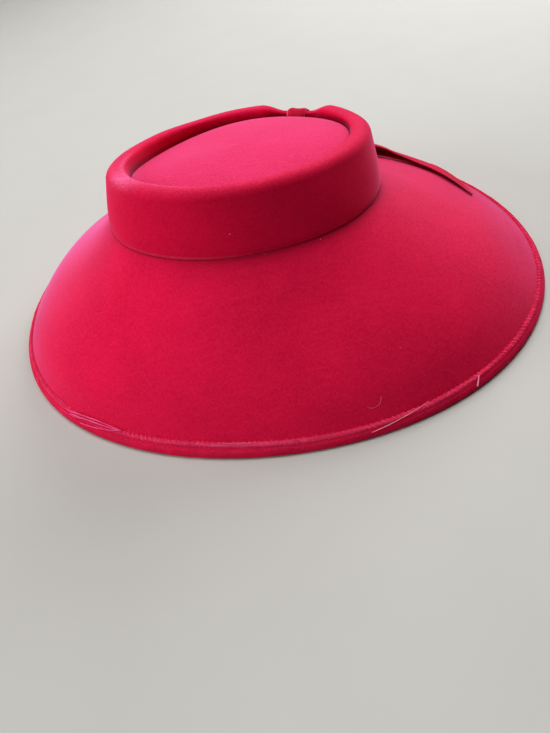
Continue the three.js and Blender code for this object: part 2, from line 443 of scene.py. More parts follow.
def loft_faces(rows: int, columns: int, wrap_rows: bool, first: int = 0) -> list[tuple[int, ...]]:
    """The four-sided faces of a loft whose sections are closed rings.

    Args:
        rows: How many sections there are.
        columns: How many points a section has.
        wrap_rows: True if the last section meets the first, and otherwise each end gets a cap.
        first: The number of the loft's first vertex.

    Returns:
        The faces.
    """
    row = np.arange(rows if wrap_rows else rows - 1)[:, None]
    column = np.arange(columns)[None]
    after, beside = (row + 1) % rows, (column + 1) % columns
    this, that = row * columns, after * columns
    corners = np.stack([this + column, this + beside, that + beside, that + column], axis=-1)
    faces = [tuple(f) for f in (corners.reshape(-1, 4) + first).tolist()]
    if not wrap_rows:
        last = first + (rows - 1) * columns
        faces.append(tuple(range(first + columns - 1, first - 1, -1)))
        faces.append(tuple(range(last, last + columns)))
    return faces


def make_piece(
    name: str,
    points: np.ndarray,
    faces: Sequence[tuple[int, ...]],
    wear_and_painted_highlight: np.ndarray | None = None,
    painted_shade: np.ndarray | None = None,
) -> bpy.types.Object:
    """Makes a smooth closed mesh whose faces point outward.

    Args:
        name: The piece's name.
        points: Vertices in millimetres.
        faces: The faces, by vertex number.
        wear_and_painted_highlight: How pale each vertex is drawn, from 0 to 1, for wear and for painted
            highlight and sheen.
        painted_shade: How much painted shade darkens each vertex, from 0 to 1.

    Returns:
        The piece.
    """
    mesh = bpy.data.meshes.new(name)
    mesh.from_pydata((points.reshape(-1, 3) * MM).tolist(), [], faces)
    for label, amounts in (("wear_and_painted_highlight", wear_and_painted_highlight), ("painted_shade", painted_shade)):
        if amounts is not None:
            values = mesh.attributes.new(label, "FLOAT", "POINT").data
            values.foreach_set("value", amounts.astype(np.float32).ravel())
    shape = bmesh.new()
    shape.from_mesh(mesh)
    bmesh.ops.remove_doubles(shape, verts=shape.verts, dist=1e-6)
    bmesh.ops.recalc_face_normals(shape, faces=shape.faces)
    shape.to_mesh(mesh)
    shape.free()
    mesh.shade_smooth()
    piece = bpy.data.objects.new(name, mesh)
    bpy.context.scene.collection.objects.link(piece)
    return piece


def fibre_mesh(paths: np.ndarray, radius: np.ndarray, sides: int) -> tuple[np.ndarray, list[tuple[int, ...]]]:
    """Thin closed tubes along many paths of the same number of points.

    Args:
        paths: Points in millimetres, one row for each fibre.
        radius: The radius at each point.
        sides: Sides of the tubes.

    Returns:
        Vertices and faces.
    """
    along = np.gradient(paths, axis=1)
    along /= np.maximum(np.linalg.norm(along, axis=-1, keepdims=True), 1e-9)
    level = np.where(np.abs(along[..., 2:]) < 0.9, np.array([0.0, 0.0, 1.0]), np.array([1.0, 0.0, 0.0]))
    side = np.cross(along, level)
    side /= np.maximum(np.linalg.norm(side, axis=-1, keepdims=True), 1e-9)
    over = np.cross(side, along)
    turn = all_round(sides)[:, None]
    rings = side[:, :, None] * np.cos(turn) + over[:, :, None] * np.sin(turn)
    rings = paths[:, :, None] + rings * radius[:, :, None, None]
    count, steps = paths.shape[:2]
    faces: list[tuple[int, ...]] = []
    for i in range(count):
        faces += loft_faces(steps, sides, False, i * steps * sides)
    return rings.reshape(-1, 3), faces


def dress(piece: bpy.types.Object, finish: bpy.types.Material, node: str | None = None) -> None:
    """Gives a piece its finish and its place in the frame, and reports it.

    Args:
        piece: The piece.
        finish: Its material.
        node: The solid that it stands for, if it does.
    """
    piece.data.materials.clear()
    piece.data.materials.append(finish)
    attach(piece, "root")
    if node:
        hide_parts(node)
    piece.data.calc_loop_triangles()
    LOG.info("%s: %d triangles, %s", piece.name, len(piece.data.loop_triangles), finish.name)


# Finishes


@dataclass(frozen=True)
class VelourFelt:
    """Fur felt brushed and sheared to a short velour nap.

    To the eye it is deep, even and matt, with a fine grain of hair ends and a trace of cloudiness where hands
    have laid the nap. It glows pink at a grazing look, because each short hair catches light along its side.
    Worn edges show their pale hair ends. The same pale colour is also painted on as highlight and sheen, and a
    dark colour is painted on as shade in hollows and beside other parts.
    """

    name: str
    pile: str
    laid: str
    tips: str = "#E8255A"
    glow: str = "#E9A0F4"
    # Pale colour of worn hair ends, also painted on as highlight and sheen.
    worn: str = "#F476AC"
    # Dark colour painted on as shade in hollows and beside other parts.
    painted_shade_colour: str = "#72001A"
    lint: str = "#F4B9BE"
    sheen: float = 0.75
    sheen_roughness: float = 0.3
    roughness: float = 0.95
    specular: float = 0.05
    cloud_mm: float = 38.0
    cloud_span: tuple[float, float] = (0.3, 0.7)
    nap_mm: float = 1.3  # real hairs are about a tenth of this, too fine to show
    nap_depth_mm: float = 0.18
    nap_bump: float = 0.4
    streak_mm: float = 2.6
    streak_stretch: float = 4.0
    streak_share: float = 0.22
    brushing_deg: float = 35.0
    ends_span: tuple[float, float] = (0.36, 0.7)
    ends_share: float = 0.62
    broken_span: tuple[float, float] = (0.38, 0.62)
    broken_least: float = 0.35
    lint_spacing_mm: float = 21.0
    lint_mm: float = 0.4
    lint_core: float = 0.4
    lint_share: float = 0.5

    def material(self) -> bpy.types.Material:
        """Builds the felt.

        Returns:
            The material.
        """
        made = bare_material(self.name)
        tree = made.node_tree
        place = add_node(tree, "ShaderNodeTexCoord").outputs["Object"]
        cloud = add_node(
            tree,
            "ShaderNodeTexNoise",
            {"Vector": place, "Scale": per_metre(self.cloud_mm), "Detail": 5.0, "Roughness": 0.55},
        )
        nap = add_node(
            tree,
            "ShaderNodeTexNoise",
            {"Vector": place, "Scale": per_metre(self.nap_mm), "Detail": 3.0, "Roughness": 0.7},
        ).outputs[0]
        brushing = add_node(
            tree,
            "ShaderNodeMapping",
            {
                "Vector": place,
                "Rotation": (0.0, 0.0, math.radians(self.brushing_deg)),
                "Scale": (self.streak_stretch, 1.0, 1.0),
            },
            vector_type="TEXTURE",
        ).outputs[0]
        streaks = add_node(
            tree,
            "ShaderNodeTexNoise",
            {"Vector": brushing, "Scale": per_metre(self.streak_mm), "Detail": 2.0, "Roughness": 0.6},
        )
        low, high = self.cloud_span
        cloudy = add_node(tree, "ShaderNodeMapRange", {0: cloud.outputs[0], 1: low, 2: high}).outputs[0]
        strokes = {0: self.streak_share, 2: nap, 3: streaks.outputs[0]}
        brushed_nap = add_node(tree, "ShaderNodeMix", strokes).outputs[0]
        low, high = self.ends_span
        ends = {0: brushed_nap, 1: low, 2: high, 3: 0.0, 4: self.ends_share}
        hair_ends = add_node(tree, "ShaderNodeMapRange", ends).outputs[0]
        # Wear and painted highlight, read from the mesh.
        wear_and_painted_highlight = add_node(tree, "ShaderNodeAttribute", attribute_name="wear_and_painted_highlight").outputs["Fac"]
        low, high = self.broken_span
        patchy = {0: nap, 1: low, 2: high, 3: self.broken_least, 4: 1.0}
        broken = add_node(tree, "ShaderNodeMapRange", patchy).outputs[0]
        worn = add_node(tree, "ShaderNodeMath", {0: wear_and_painted_highlight, 1: broken}, operation="MULTIPLY").outputs[0]
        # Painted shade, read from the mesh.
        painted_shade = add_node(tree, "ShaderNodeAttribute", attribute_name="painted_shade").outputs["Fac"]
        cells = {"Vector": place, "Scale": per_metre(self.lint_spacing_mm)}
        specks = add_node(tree, "ShaderNodeTexVoronoi", cells).outputs["Distance"]
        speck_size = self.lint_mm / self.lint_spacing_mm
        flecks = {0: specks, 1: speck_size, 2: speck_size * self.lint_core, 3: 0.0, 4: self.lint_share}
        speck = add_node(tree, "ShaderNodeMapRange", flecks).outputs[0]
        colour = srgb(self.laid)
        for share, over in (
            (cloudy, self.pile),
            (hair_ends, self.tips),
            (worn, self.worn),
            (painted_shade, self.painted_shade_colour),
            (speck, self.lint),
        ):
            layers = {0: share, 6: colour, 7: srgb(over)}
            colour = add_node(tree, "ShaderNodeMix", layers, data_type="RGBA").outputs[2]
        relief = {"Height": nap, "Strength": self.nap_bump, "Distance": self.nap_depth_mm * MM}
        bump = add_node(tree, "ShaderNodeBump", relief).outputs[0]
        felt = add_node(
            tree,
            "ShaderNodeBsdfPrincipled",
            {
                "Base Color": colour,
                "Roughness": self.roughness,
                "Specular IOR Level": self.specular,
                "Sheen Weight": self.sheen,
                "Sheen Roughness": self.sheen_roughness,
                "Sheen Tint": srgb(self.glow),
                "Normal": bump,
            },
        )
        add_node(tree, "ShaderNodeOutputMaterial", {"Surface": felt.outputs[0]})
        return made


@dataclass(frozen=True)
class SewingThread:
    """Soft spun cotton thread, faded by light: fine, matt and slightly uneven in colour."""

    name: str
    colour: str
    faded: str
    roughness: float = 0.7
    fade_mm: float = 6.0
    fade_span: tuple[float, float] = (0.35, 0.65)

    def material(self) -> bpy.types.Material:
        """Builds the thread.

        Returns:
            The material.
        """
        made = bare_material(self.name)
        tree = made.node_tree
        place = add_node(tree, "ShaderNodeTexCoord").outputs["Object"]
        patches = {"Vector": place, "Scale": per_metre(self.fade_mm), "Detail": 3.0}
        fade = add_node(tree, "ShaderNodeTexNoise", patches).outputs[0]
        low, high = self.fade_span
        part = add_node(tree, "ShaderNodeMapRange", {0: fade, 1: low, 2: high}).outputs[0]
        mixed = {0: part, 6: srgb(self.colour), 7: srgb(self.faded)}
        colour = add_node(tree, "ShaderNodeMix", mixed, data_type="RGBA").outputs[2]
        cotton = {"Base Color": colour, "Roughness": self.roughness, "Specular IOR Level": 0.0}
        thread = add_node(tree, "ShaderNodeBsdfPrincipled", cotton)
        add_node(tree, "ShaderNodeOutputMaterial", {"Surface": thread.outputs[0]})
        return made


# The tip's felt is drawn lighter and pinker than the rest of the same felt, a painted highlight on the top of
# the crown.
TIP_FELT = VelourFelt(
    "brushed_velour_felt_tip_painted_lighter", "#D6285C", "#CC1F52", tips="#EC4272", glow="#F090D0", sheen=0.6
)
BAND_FELT = VelourFelt(
    "brushed_velour_felt_sideband", "#CC0633", "#BC042D", tips="#E01548", glow="#F67CB8", sheen=0.45
)
BRIM_FELT = VelourFelt(
    "brushed_velour_felt_brim", "#D30B39", "#C10731", tips="#E41E50", glow="#EE9CE8", sheen=0.85
)
BINDING_FELT = VelourFelt(
    "folded_felt_binding", "#CE0A30", "#AC0526", worn="#F04A7C", nap_mm=0.9, cloud_mm=12.0, sheen=0.2
)
TIE_FELT = VelourFelt("cut_felt_strap", "#BE183A", "#B01231", tips="#CC2A4C", glow="#D85A7C", sheen=0.3)
STITCH_THREAD = SewingThread("faded_cotton_thread", "#E02A5C", "#F46C96")
FRAY_FIBRE = SewingThread("frayed_felt_fibre", "#FA2A62", "#FF5C8E", roughness=0.9, fade_mm=5.0)
PULLED_THREAD = SewingThread("pulled_pink_thread", "#EA3A76", "#F3669C", fade_mm=9.0)
LOOSE_THREAD = SewingThread("loose_pale_thread", "#F684AC", "#FBC8D6", fade_mm=9.0)


# Sub-assemblies


@dataclass
class Crown:
    """The crown: a domed tip inside a sideband whose top is rolled over into the rim."""

    form: HatForm
    stations: int = 288
    top_steps: int = 26
    shoulder_steps: int = 14
    shoulder_start: float = 0.86
    shoulder: float = 5.0
    shoulder_power: float = 8.0
    dome: float = 3.5
    edge_drop: float = 3.7
    pitch_right: float = 1.1
    pitch_back: float = 2.5
    edge_waves: tuple[Wave, ...] = (Wave(2, 0.1, 2.1), Wave(3, 1.4, 0.6))
    tip_unevenness: tuple[Ripple, ...] = (
        Ripple(2, 0.6, 0.4, 0.22),
        Ripple(3, 0.9, 2.1, 0.18),
        Ripple(5, 1.3, 4.0, 0.1),
    )
    wall_steps: int = 28
    wall_crowding: float = 1.7
    roll_steps: int = 44
    roll_crispness: float = 4.2
    leg_steps: int = 6
    wall_bulge: float = 1.3
    bulge_power: float = 0.55
    wall_unevenness: tuple[Ripple, ...] = (
        Ripple(3, 0.3, 1.0, 0.25),
        Ripple(7, 0.5, 2.6, 0.16),
        Ripple(11, 0.4, 5.1, 0.1),
    )
    uneven_above: float = 0.3
    strap_whole: float = 8.0
    strap_faded: float = 20.0
    foot_tuck: float = 1.1
    foot_tuck_height: float = 2.2
    foot_drop: float = 0.25
    foot_drop_height: float = 2.0
    full_foot: Stretch = Stretch(238.0, 40.0, 75.0)
    full_foot_share: float = 0.6
    # A painted highlight along the foot's edge, strongest at the front left.
    foot_line: float = 0.7
    foot_line_height: float = 1.2
    foot_highlight: float = 0.16
    # A pale patch on the roll's left, partly wear and partly painted sheen; painted highlights along the front
    # of the roll and all round its crest.
    rubbed_and_sheen_patch: Spot = Spot(243.0, 10.0, 0.62)
    rubbed_and_sheen_patch_width: float = 0.24
    front_highlight: Stretch = Stretch(246.0, 30.0, 62.0)
    front_highlight_turn: float = 0.62
    front_highlight_width: float = 0.1
    front_highlight_amount: float = 0.4
    crest_turn: float = 0.42
    crest_width: float = 0.2
    crest_highlight: float = 0.1
    crest_pinched: float = 0.8
    # Painted shade in the gutter between the roll and the tip, strongest just above the tip's edge, with more at
    # a spot on the left.
    gutter_corner: Spot = Spot(213.0, 16.0, 0.12)
    gutter_lip: float = 3.4
    gutter_dark: float = 0.75
    gutter_fade: float = 2.4
    gutter_turn: tuple[float, float] = (0.74, 0.86)

    def pitch(self, angle: np.ndarray) -> np.ndarray:
        """How much the tip's slope raises its edge."""
        return self.pitch_right * np.cos(angle) + self.pitch_back * np.sin(angle)

    def tip_edge(self, angle: np.ndarray) -> np.ndarray:
        """The height of the tip's edge above the rim's middle line."""
        return self.pitch(angle) + waves(self.edge_waves, angle) - self.edge_drop

    def build_tip(self) -> bpy.types.Object:
        """Builds the domed tip, rounded down into the gutter inside the roll.

        Returns:
            The piece.
        """
        angle = all_round(self.stations)
        middle = np.linspace(0.0, self.shoulder_start, self.top_steps)
        crowded = np.linspace(1.0, 0.0, self.shoulder_steps + 1)[1:] ** 2
        part = np.concatenate([middle, 1.0 - (1.0 - self.shoulder_start) * crowded])
        inset = self.form.inner_width(angle) + self.form.gap
        edge = self.form.rim_points(angle) - self.form.rim_out(angle) * inset[:, None]
        centre = self.form.rim_centre()
        flat = centre + (edge[:, None] - centre) * part[None, :, None]
        flat[..., 2] += self.pitch(angle)[:, None] * part[None]
        flat[..., 2] += waves(self.edge_waves, angle)[:, None] * part[None] ** 2
        height = self.shoulder * np.sqrt(1.0 - part**self.shoulder_power) + self.dome * (1.0 - part**2)
        height = height - self.edge_drop
        soft = ripples(self.tip_unevenness, angle[:, None], part[None]) * (part**2 * (1.0 - part**4))[None]
        top, underside = flat.copy(), flat[:, ::-1].copy()
        top[..., 2] += height[None] + soft
        underside[..., 2] += (height[None] + soft)[:, ::-1] - self.form.tip_felt
        rows = np.concatenate([top, underside], axis=1)
        piece = make_piece("domed_tip", rows, loft_faces(*rows.shape[:2], True))
        dress(piece, TIP_FELT.material(), "crown_tip")
        return piece

    def rim_wear_and_highlight(self, angle: np.ndarray, turn: np.ndarray) -> np.ndarray:
        """How pale the rolled rim is drawn: a patch that is partly wear and partly painted sheen, and painted
        highlights along its front and its crest.

        Args:
            angle: Angles around the hat.
            turn: Parts of the way over the roll.

        Returns:
            Paleness from wear and painted light, one row for each angle.
        """
        patch = hump(turn, self.crest_turn, self.rubbed_and_sheen_patch_width) * self.rubbed_and_sheen_patch.at(angle)[:, None]
        front = hump(turn, self.front_highlight_turn, self.front_highlight_width)
        front = self.front_highlight_amount * front * self.front_highlight.at(angle)[:, None]
        crest = hump(turn, self.crest_turn, self.crest_width)
        crest = self.crest_highlight * crest * (1.0 - self.crest_pinched * self.form.squeeze(angle))[:, None]
        return patch + front + crest

    def gutter_painted_shade(self, angle: np.ndarray, turn: np.ndarray, outer: np.ndarray) -> np.ndarray:
        """Painted shade on the roll's inner side where it goes down to the tip.

        Args:
            angle: Angles around the hat.
            turn: Parts of the way over the roll.
            outer: Points of the sideband's outer face.

        Returns:
            Painted shade, one row for each angle.
        """
        lip = self.form.rim_points(angle)[:, 2] + self.tip_edge(angle) + self.gutter_lip
        above = np.maximum(outer[..., 2] - lip[:, None], 0.0)
        dark = self.gutter_dark * np.exp(-above / self.gutter_fade) + self.gutter_corner.at(angle)[:, None]
        return soft_step(turn, *self.gutter_turn) * np.clip(dark, 0.0, 1.0)

    def build_sideband(self) -> bpy.types.Object:
        """Builds the sideband with its crisp rolled rim and a tucked-in foot, a pale place on the roll that is
        partly wear and partly painted sheen, painted highlights along the roll and the foot, and painted shade
        in the gutter.

        Returns:
            The piece.
        """
        form, angle = self.form, all_round(self.stations)
        wall = np.linspace(0.0, 1.0, self.wall_steps + 1)[:-1] ** self.wall_crowding
        leg = form.roll_leg * np.linspace(0.0, 1.0, self.leg_steps + 1)[1:]
        outer, normal = form.band_path(angle, wall, self.roll_steps, leg, self.roll_crispness)
        round_path, _ = form.band_path(angle, wall, self.roll_steps, leg)
        level = normal[:, :1].copy()
        level[..., 2] = 0.0
        foot = outer[:, :1] - level * form.band_felt / (level**2).sum(axis=-1, keepdims=True)
        inner = np.concatenate([foot, (round_path - normal * form.band_felt)[:, 1:]], axis=1)
        up_wall = np.concatenate([wall, np.ones(outer.shape[1] - len(wall))])[None]
        height = np.where(up_wall < 1.0, np.linalg.norm(outer - outer[:, :1], axis=-1), np.inf)
        free = 1.0 - Stretch(form.knot_angle, self.strap_whole, self.strap_faded).at(angle)[:, None]
        uneven = ripples(self.wall_unevenness, angle[:, None], up_wall) * free
        uneven *= soft_step(up_wall, 0.0, self.uneven_above)
        uneven[:, -self.leg_steps :] *= np.linspace(1.0, 0.0, self.leg_steps)[None]
        uneven += self.wall_bulge * np.sin(math.pi * up_wall**self.bulge_power) * free
        full = self.full_foot.at(angle)[:, None]
        tuck = self.foot_tuck * (1.0 - self.full_foot_share * full)
        uneven -= tuck * hump(height, 0.0, self.foot_tuck_height)
        outer = outer + normal * uneven[..., None]
        outer[..., 2] -= self.foot_drop * hump(height, 0.0, self.foot_drop_height)
        inner[:, 0, 2] -= self.foot_drop
        turn = (np.arange(outer.shape[1])[None] - len(wall)) / self.roll_steps
        # Painted highlight along the foot's edge, added to the roll's wear and painted light.
        wear_and_painted_highlight = self.foot_highlight * hump(height, self.foot_line_height, self.foot_line) * full
        wear_and_painted_highlight = np.clip(wear_and_painted_highlight + self.rim_wear_and_highlight(angle, turn), 0.0, 1.0)
        unworn = np.zeros(inner.shape[:2])
        wear_and_painted_highlight = np.concatenate([wear_and_painted_highlight, unworn], axis=1)
        painted_shade = np.concatenate([self.gutter_painted_shade(angle, turn, outer), unworn], axis=1)
        rows = np.concatenate([outer, inner[:, ::-1]], axis=1)
        piece = make_piece("rolled_sideband", rows, loft_faces(*rows.shape[:2], True), wear_and_painted_highlight, painted_shade)
        dress(piece, BAND_FELT.material(), "sideband")
        return piece


@dataclass
class Brim:
    """The wide brim and the felt strip that is folded round its edge and sewn through."""

    form: HatForm
    stations: int = 320
    top_steps: int = 96
    top_crowding: float = 1.3
    under_steps: int = 30
    unevenness: tuple[Ripple, ...] = (
        Ripple(2, 0.5, 1.2, 0.5),
        Ripple(3, 0.8, 3.9, 0.45),
        Ripple(5, 0.7, 0.6, 0.3),
        Ripple(8, 1.1, 2.2, 0.16),
        Ripple(13, 1.6, 4.4, 0.08),
    )
    uneven_from: tuple[float, float] = (0.02, 0.25)
    uneven_until: tuple[float, float] = (0.8, 0.92)
    # Painted shade on the brim beside the seam, where the crown shades it, deeper at the right front.
    valley: float = 3.6
    valley_dark: float = 0.14
    valley_shaded: Stretch = Stretch(338.0, 35.0, 75.0)
    valley_shade: float = 0.38
    # Painted sheen: the brim's nap is drawn paler all round except about the front.
    painted_sheen: float = 0.11
    sheen_spared: Stretch = Stretch(300.0, 40.0, 95.0)
    binding_width: float = 6.1
    binding_slim: Stretch = Stretch(350.0, 25.0, 75.0)
    binding_slimmer: float = 1.3
    binding_broader: Spot = Spot(290.0, 16.0, 0.9)
    binding_stations: int = 1240
    border_radius: float = 190.0
    sewn_columns: tuple[float, ...] = (0.0, 0.35, 0.9, 1.5, 2.1, 2.6, 3.1)
    plain_columns: tuple[float, ...] = (0.35, 0.7, 1.0)
    plain_end: float = 0.4
    fold_steps: int = 13
    under_columns: tuple[float, ...] = (3.0, 6.0, 8.0)
    inner_columns: tuple[float, ...] = (0.4, 0.7, 1.0)
    border_waves: tuple[Wave, ...] = (Wave(17, 0.12, 0.1), Wave(41, 0.1, -0.12), Wave(97, 0.1, 0.08))
    border_fuzz: float = 0.16
    border_fuzz_run: int = 5
    border_shift: float = 0.35
    border_shift_width: float = 2.0
    border_felt: float = 0.03
    border_round: tuple[float, float] = (-0.02, 1.5)
    ridge_width: float = 2.6
    ridge_middle: float = 1.0
    ridge_spread: float = 0.9
    ridge_height: float = 0.2
    gather_height: float = 0.12
    groove: float = 0.35
    groove_beyond: float = 0.4
    groove_width: float = 0.75
    fold_swell: float = 0.3
    fold_swell_from_edge: float = 1.6
    fold_swell_width: float = 1.2
    fold_wander: float = 0.12
    seated: float = 0.01
    ridge_wear: float = 0.8
    even_wear: float = 0.06
    stitch_pitch: float = 3.4
    stitch_length: float = 2.3
    stitch_radius: float = 0.15
    stitch_taper: float = 0.45
    slant_least: float = 0.8
    slant_more: float = 0.4
    stitch_steps: int = 6
    stitch_sides: int = 6
    stitch_wander: float = 0.18
    stitch_jitter: float = 0.0012
    stitch_from: float = -0.5
    stitch_beyond: float = 0.9
    stitch_arch: float = 1.62
    stitch_climb: float = 0.4
    stitch_seat: float = 0.1
    stitch_sunk: float = 0.22
    proud_stitches: Spot = Spot(6.0, 18.0)
    proud_stoutness: float = 0.7
    fray_count: int = 12500
    fray_tries: int = 4
    fray_steps: int = 3
    fray_sides: int = 3
    fray_across: float = 0.7
    fray_scatter: float = 0.6
    fray_bend: float = 0.7
    fray_shortest: float = 0.5
    fray_longer: float = 1.1
    fray_round: tuple[float, float] = (-0.4, 0.9)
    fray_base: float = 1.7
    fray_sunk: float = 0.1
    fray_outward: float = 0.7
    fray_stand: float = 0.15
    fray_stand_more: float = 0.6
    fray_droop: float = 0.35
    fray_radius: float = 0.05
    fray_radius_more: float = 0.03
    fray_taper: float = 0.75
    fray_mean: float = 0.32
    fray_least: float = 0.05
    fray_waves: tuple[Ripple, ...] = (Ripple(5, 0.0, 0.8, 0.2), Ripple(13, 0.0, 2.0, 0.12))
    fray_spots: tuple[Spot, ...] = (
        Spot(4.0, 26.0, -0.3),
        Spot(254.0, 14.0, 0.4),
        Spot(291.0, 12.0, 0.6),
        Spot(312.0, 16.0, 0.45),
        Spot(338.0, 10.0, 0.35),
    )
    seed: int = 41

    @property
    def stitch_count(self) -> int:
        """How many stitches go round the border."""
        return int(round(TURN * self.border_radius / self.stitch_pitch))

    def uneven(self, angle: np.ndarray, reach: np.ndarray) -> np.ndarray:
        """The felt's unevenness, nothing at the seam and inside the binding."""
        free = soft_step(reach, *self.uneven_from) * (1.0 - soft_step(reach, *self.uneven_until))
        return ripples(self.unevenness, angle[:, None], reach) * free

    def build_felt(self) -> bpy.types.Object:
        """Builds the brim from the ledge under the sideband down to its end inside the binding.

        Returns:
            The piece.
        """
        form, angle = self.form, all_round(self.stations)
        section = form.brim_section(angle)
        outward = np.linspace(0.0, 1.0, self.top_steps) ** self.top_crowding
        top = np.broadcast_to(outward, (self.stations, self.top_steps))
        under = np.broadcast_to(np.linspace(1.0, 0.0, self.under_steps), (self.stations, self.under_steps))
        felt = form.brim_felt / 2.0
        level = np.full((self.stations, 1, 2), -form.band_felt)
        level[..., 1] = section.seam[:, None, 2] - form.gap
        below = level - np.array([0.0, form.brim_felt])
        rows = np.concatenate(
            [
                section.place(level),
                section.face(top, felt + self.uneven(angle, top)),
                section.face(under, -felt + self.uneven(angle, under)),
                section.place(below),
            ],
            axis=1,
        )
        # Painted shade that fades outward from the seam.
        depth = (self.valley_dark + self.valley_shade * self.valley_shaded.at(angle))[:, None]
        painted_shade = np.zeros(rows.shape[:2])
        painted_shade[:, 1 : self.top_steps + 1] = depth * np.exp(-top * section.length[:, None] / self.valley)
        # Painted sheen, paler everywhere but about the front.
        sheened = self.painted_sheen * (1.0 - self.sheen_spared.at(angle))
        wear_and_painted_highlight = np.broadcast_to(sheened[:, None], painted_shade.shape)
        piece = make_piece("wide_brim", rows, loft_faces(*rows.shape[:2], True), wear_and_painted_highlight, painted_shade)
        dress(piece, BRIM_FELT.material(), "brim")
        return piece

    def cover(self, angle: np.ndarray) -> np.ndarray:
        """How far the binding covers the brim's top: more at the front, less at the right of it."""
        slimmer = self.binding_slimmer * self.binding_slim.at(angle)
        return self.binding_width - slimmer + self.binding_broader.at(angle)

    def frayed(self, angle: np.ndarray) -> np.ndarray:
        """How frayed the binding's sewn border is around the hat, from 0 to 1."""
        bare = self.fray_mean + ripples(self.fray_waves, angle, np.zeros_like(angle))
        return np.clip(bare + sum(spot.at(angle) for spot in self.fray_spots), self.fray_least, 1.0)

    def wander(self, angle: np.ndarray) -> np.ndarray:
        """The hand-cut unevenness of the binding's border at evenly spaced angles."""
        count, run = len(angle), self.border_fuzz_run
        fuzz = np.random.default_rng(self.seed).normal(0.0, self.border_fuzz, count)
        smooth = np.convolve(np.tile(fuzz, 3), np.ones(run) / run, "same")
        return waves(self.border_waves, angle) + smooth[count : 2 * count]

    def build_binding(self) -> bpy.types.Object:
        """Builds the binding: a sewn ridge, the groove that the thread pulls in, and the fold round the edge.

        Returns:
            The piece.
        """
        form, angle = self.form, all_round(self.binding_stations)
        section = form.brim_section(angle)
        length = section.length[:, None]
        wander = self.wander(angle)
        inside = form.brim_felt / 2.0 + form.gap
        width = self.cover(angle)[:, None]
        sewn = np.broadcast_to(np.array(self.sewn_columns), (len(angle), len(self.sewn_columns)))
        last = self.sewn_columns[-1]
        plain = last + (width - last - self.plain_end) * np.array(self.plain_columns)[None]
        across = np.concatenate([sewn, plain], axis=1)
        risen = np.sqrt(soft_step(across, *self.border_round))
        thick = (form.gap + form.binding_felt - self.border_felt) * risen + self.border_felt - form.gap
        pulled = self.groove * hump(across, self.ridge_width + self.groove_beyond, self.groove_width)
        swell = self.fold_swell * hump(width - across, self.fold_swell_from_edge, self.fold_swell_width)
        ridge = hump(across, self.ridge_middle, self.ridge_spread)
        gathers = self.gather_height * np.cos(self.stitch_count * angle)
        lift = inside + thick + swell - pulled + ridge * (gathers + self.ridge_height + wander)[:, None]
        border = self.border_shift * wander[:, None] * hump(across, 0.0, self.border_shift_width)
        reach = 1.0 - (width - across + border) / length
        over = section.middle(reach) + section.facing(reach) * lift[..., None]
        turn = np.linspace(0.0, math.pi, self.fold_steps)[None, :, None]
        edge = np.ones((len(angle), 1))
        around = section.facing(edge) * np.cos(turn) + section.along(edge) * np.sin(turn)
        fold = section.end[:, None] + around * (form.fold_radius + self.fold_wander * wander)[:, None, None]
        inner_fold = section.end[:, None] + around * inside
        under_reach = 1.0 - np.array(self.under_columns)[None] / length
        under = section.middle(under_reach) - section.facing(under_reach) * form.fold_radius
        inner_under = section.middle(under_reach) - section.facing(under_reach) * inside
        inner_reach = 1.0 - width * np.array(self.inner_columns)[None] / length
        sunk = np.array([0.0, 0.0, form.gap - self.seated])[None, :, None]
        inner_over = section.middle(inner_reach) + section.facing(inner_reach) * (inside - sunk)
        level = np.concatenate(
            [over, fold, under, inner_under[:, ::-1], inner_fold[:, ::-2], inner_over], axis=1
        )
        level[..., 1] = np.maximum(level[..., 1], 0.0)
        rows = section.place(level)
        wear_and_painted_highlight = np.zeros(rows.shape[:2])
        frayed = self.frayed(angle)[:, None] * (self.ridge_wear * ridge + self.even_wear)
        wear_and_painted_highlight[:, : across.shape[1]] = np.clip(frayed + self.even_wear * ridge, 0.0, 1.0)
        piece = make_piece("bound_edge", rows, loft_faces(*rows.shape[:2], True), wear_and_painted_highlight)
        dress(piece, BINDING_FELT.material(), "brim_binding")
        return piece

    def on_border(self, angle: np.ndarray, across: np.ndarray, lift: np.ndarray) -> np.ndarray:
        """Points on the binding's top face.

        Args:
            angle: Angles around the hat, one for each point.
            across: Distance outward from the binding's inner border.
            lift: Height above the brim felt's top face.

        Returns:
            Points in millimetres.
        """
        section = self.form.brim_section(angle.ravel())
        reach = 1.0 - (self.cover(angle.ravel()) - across.ravel()) / section.length
        points = section.face(reach[:, None], (self.form.brim_felt / 2.0 + lift.ravel())[:, None])
        return points.reshape(*angle.shape, 3)

    def build_stitches(self) -> bpy.types.Object:
        """Builds the slanting hand stitches that hold the binding's border.

        Returns:
            The piece.
        """
        count = self.stitch_count
        rng = np.random.default_rng(self.seed + 1)
        start = all_round(count) + rng.normal(0.0, self.stitch_jitter, count)
        part = np.linspace(0.0, 1.0, self.stitch_steps)[None]
        share = self.slant_least + self.slant_more * rng.random(count)
        slant = self.stitch_length / self.border_radius * share
        angle = start[:, None] + slant[:, None] * part
        across = self.stitch_from + (self.ridge_width + self.stitch_beyond) * part
        across = across + rng.normal(0.0, self.stitch_wander, count)[:, None]
        arch = np.sin(math.pi * part)
        proud = self.proud_stitches.at(start)[:, None]
        lift = self.stitch_seat + self.stitch_arch * np.sqrt(arch) + self.stitch_climb * part
        lift = lift - self.stitch_sunk * (1.0 - proud)
        paths = self.on_border(angle, across, lift)
        radius = self.stitch_radius * (1.0 - self.stitch_taper + self.stitch_taper * arch)
        radius = radius * (1.0 + self.proud_stoutness * proud)
        piece = make_piece("binding_stitches", *fibre_mesh(paths, radius, self.stitch_sides))
        dress(piece, STITCH_THREAD.material())
        return piece

